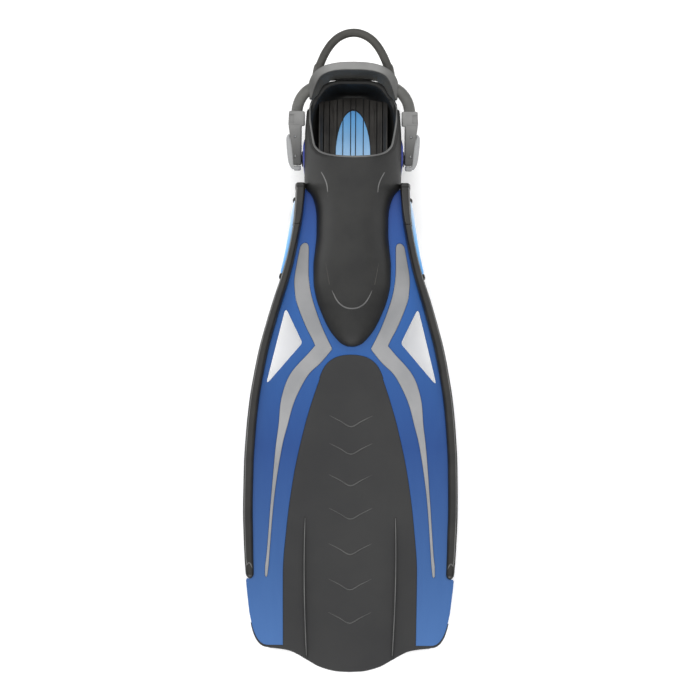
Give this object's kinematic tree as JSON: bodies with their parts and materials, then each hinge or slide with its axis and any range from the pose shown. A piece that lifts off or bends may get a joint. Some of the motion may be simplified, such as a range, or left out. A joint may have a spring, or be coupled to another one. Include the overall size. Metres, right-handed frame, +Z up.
{
  "type": "swim fin",
  "caption": "Open-heel swim fin: a foot pocket on a stiff blade with a soft centre channel, side rails and grey inlays, and an elastic heel strap on quick-release buckles.",
  "frame": {"origin": "on the floor under the middle of the fin as it lies on its heel and its blade tip", "axes": "+X to the wearer's right, +Y from the blade tip to the heel, +Z up, the instep's side"},
  "size_m": [0.2206, 0.659, 0.0959],
  "materials": {
    "blue_frame": "fine satin moulded plastic",
    "pale_blue": "smooth translucent-looking pale blue rubbery plastic",
    "black_rubber": "matt moulded rubber",
    "rail_rubber": "satin soft rubber",
    "grey_rubber": "satin grey rubber",
    "strap_rubber": "satin elastic rubber",
    "buckle_plastic": "dark satin plastic",
    "lever_grey": "silver-grey painted plastic",
    "steel": "stainless steel"
  },
  "bodies": {
    "fin": {"blade_frame": "blue_frame", "blade_channel": "black_rubber", "blade_inlay_left": "grey_rubber", "blade_inlay_right": "grey_rubber", "side_rail_left": "rail_rubber", "side_rail_right": "rail_rubber", "rail_sleeve_left": "rail_rubber", "rail_sleeve_right": "rail_rubber", "rail_window_left": "pale_blue", "rail_window_right": "pale_blue", "foot_pocket": "black_rubber", "footbed_insert": "pale_blue", "stud_plate_left": "blue_frame", "stud_plate_right": "blue_frame", "buckle_stud_left": "buckle_plastic", "buckle_stud_right": "buckle_plastic", "stud_screw_left": "steel", "stud_screw_right": "steel"},
    "buckles": {"buckle_frame_left": "buckle_plastic", "buckle_frame_right": "buckle_plastic", "lever_pin_left": "steel", "lever_pin_right": "steel", "catch_pin_left": "steel", "catch_pin_right": "steel", "lever_spring_left": "steel", "lever_spring_right": "steel", "strap_rack_left": "buckle_plastic", "strap_rack_right": "buckle_plastic", "strap_arm_left": "strap_rubber", "strap_arm_right": "strap_rubber"},
    "heel_strap": {"heel_pad": "strap_rubber", "pull_loop": "strap_rubber"},
    "lever_left": {"buckle_lever_left": "lever_grey"},
    "lever_right": {"buckle_lever_right": "lever_grey"}
  },
  "joints": [
    {"name": "strap_swing", "type": "hinge", "parent": "fin", "child": "buckles", "pos_m": [0, 0.19894, 0.05], "axis": [1, 0, 0], "range_deg": [-1, 95]},
    {"name": "strap_pull", "type": "slide", "parent": "buckles", "child": "heel_strap", "axis": [0, 0.9703, 0.2419], "range_m": [0, 0.03], "stiffness_N_per_m": 900, "deforming": ["strap_arm_left", "strap_arm_right"]},
    {"name": "lever_left_open", "type": "hinge", "parent": "buckles", "child": "lever_left", "pos_m": [-0.06, 0.22145, 0.05561], "axis": [0, 0.2419, -0.9703], "range_deg": [0, 40], "stiffness_Nm_per_rad": 0.06},
    {"name": "lever_right_open", "type": "hinge", "parent": "buckles", "child": "lever_right", "pos_m": [0.06, 0.22145, 0.05561], "axis": [0, -0.2419, 0.9703], "range_deg": [0, 40], "stiffness_Nm_per_rad": 0.06}
  ]
}
